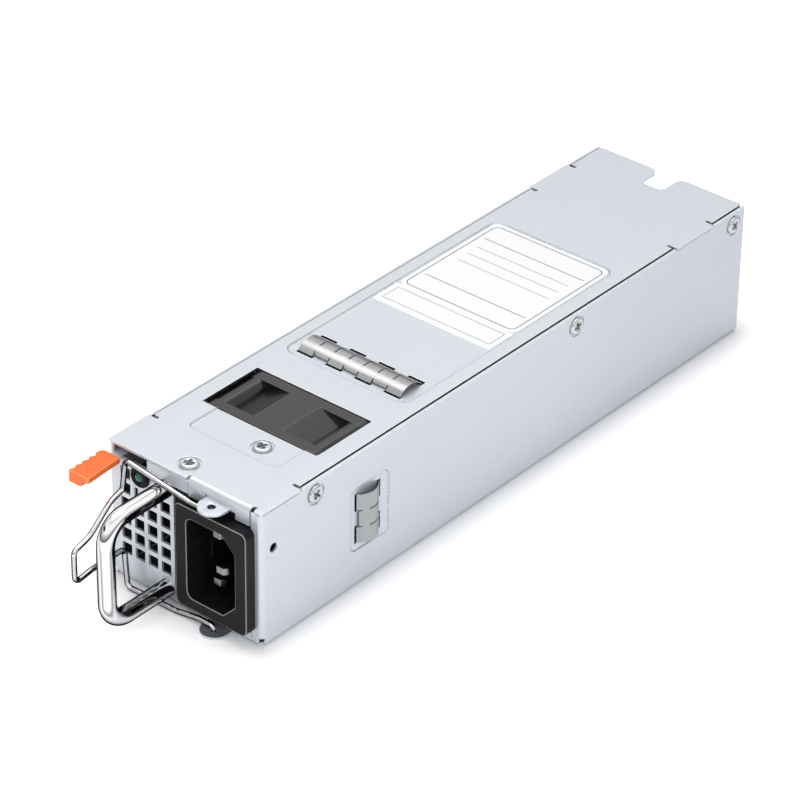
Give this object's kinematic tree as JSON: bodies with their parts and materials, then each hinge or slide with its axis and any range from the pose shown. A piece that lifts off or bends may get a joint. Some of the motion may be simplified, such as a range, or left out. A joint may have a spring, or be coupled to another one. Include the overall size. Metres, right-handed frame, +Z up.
{
  "type": "hot swap server power supply",
  "caption": "Slim sheet-metal server power supply with a mains inlet, wire cord bail, carry handle, side release latch, fan and a card edge at the rear.",
  "frame": {"origin": "centre of the case's bottom face", "axes": "+X to the mains inlet side, +Y from the front face to the card edge, +Z up"},
  "size_m": [0.0531, 0.2208, 0.0417],
  "materials": {
    "chassis": "zinc-plated sheet, satin",
    "lid": "zinc-plated sheet, satin",
    "rear_panel": "zinc-plated sheet, satin",
    "fan_bracket": "zinc-plated sheet, satin",
    "indicator_clip": "zinc-plated sheet, satin",
    "carry_handle": "bright chrome",
    "handle_washers": "spring steel",
    "cord_bail": "bright nickel on spring wire",
    "inlet_housing": "black moulded",
    "inlet_pins": "nickel-plated brass",
    "latch_spring": "spring steel",
    "latch_grip": "orange moulded",
    "latch_foot": "riveted spring steel",
    "led_holder": "black moulded",
    "led_lens": "clear tinted",
    "indicator_board": "circuit board",
    "fan_frame": "black moulded",
    "fan_rotor": "black moulded",
    "emi_spring_top": "spring finger sheet",
    "emi_spring_side": "spring finger sheet",
    "rating_label": "bare film label",
    "lid_screws": "zinc-plated pan heads",
    "side_screws": "zinc-plated pan heads",
    "main_board": "circuit board",
    "board_standoffs": "turned",
    "board_screws": "zinc-plated",
    "edge_contacts": "gold flash",
    "insulation_film": "film",
    "fuse": "ceramic tube, metal caps",
    "film_capacitor": "moulded box",
    "line_choke": "enamelled winding",
    "bridge_rectifier": "moulded",
    "bulk_capacitor": "sleeved can",
    "primary_heat_sink": "extruded",
    "secondary_heat_sink": "extruded",
    "power_transistors": "moulded",
    "transformer_core": "ferrite",
    "transformer_winding": "tape",
    "transformer_rails": "moulded",
    "output_choke": "enamelled winding",
    "output_capacitors": "cans",
    "control_board": "circuit board",
    "mains_wires": "insulated"
  },
  "bodies": {
    "case": {"chassis": "chassis", "lid": "lid", "rear_panel": "rear_panel", "fan_bracket": "fan_bracket", "indicator_clip": "indicator_clip", "carry_handle": "carry_handle", "handle_washers": "handle_washers", "inlet_housing": "inlet_housing", "inlet_pins": "inlet_pins", "latch_foot": "latch_foot", "led_holder": "led_holder", "led_lens": "led_lens", "indicator_board": "indicator_board", "fan_frame": "fan_frame", "emi_spring_top": "emi_spring_top", "emi_spring_side": "emi_spring_side", "rating_label": "rating_label", "lid_screws": "lid_screws", "side_screws": "side_screws", "main_board": "main_board", "board_standoffs": "board_standoffs", "board_screws": "board_screws", "edge_contacts": "edge_contacts", "insulation_film": "insulation_film", "fuse": "fuse", "film_capacitor": "film_capacitor", "line_choke": "line_choke", "bridge_rectifier": "bridge_rectifier", "bulk_capacitor": "bulk_capacitor", "primary_heat_sink": "primary_heat_sink", "secondary_heat_sink": "secondary_heat_sink", "power_transistors": "power_transistors", "transformer_core": "transformer_core", "transformer_winding": "transformer_winding", "transformer_rails": "transformer_rails", "output_choke": "output_choke", "output_capacitors": "output_capacitors", "control_board": "control_board", "mains_wires": "mains_wires"},
    "release_latch": {"latch_spring": "latch_spring", "latch_grip": "latch_grip"},
    "bail": {"cord_bail": "cord_bail"},
    "rotor": {"fan_rotor": "fan_rotor"}
  },
  "joints": [
    {"name": "latch_release", "type": "hinge", "parent": "case", "child": "release_latch", "pos_m": [-0.024, -0.0505, 0.029], "axis": [0, 0, 1], "range_deg": [0, 1.5], "stiffness_Nm_per_rad": 1.5, "springref_deg": -1.15},
    {"name": "bail_swing", "type": "hinge", "parent": "case", "child": "bail", "pos_m": [0.0114, -0.101, 0.018], "axis": [0, 0, 1], "range_deg": [0, 95]},
    {"name": "fan_spin", "type": "hinge", "parent": "case", "child": "rotor", "pos_m": [-0.0004, -0.0602, 0.02], "axis": [0, 1, 0], "continuous": true}
  ]
}
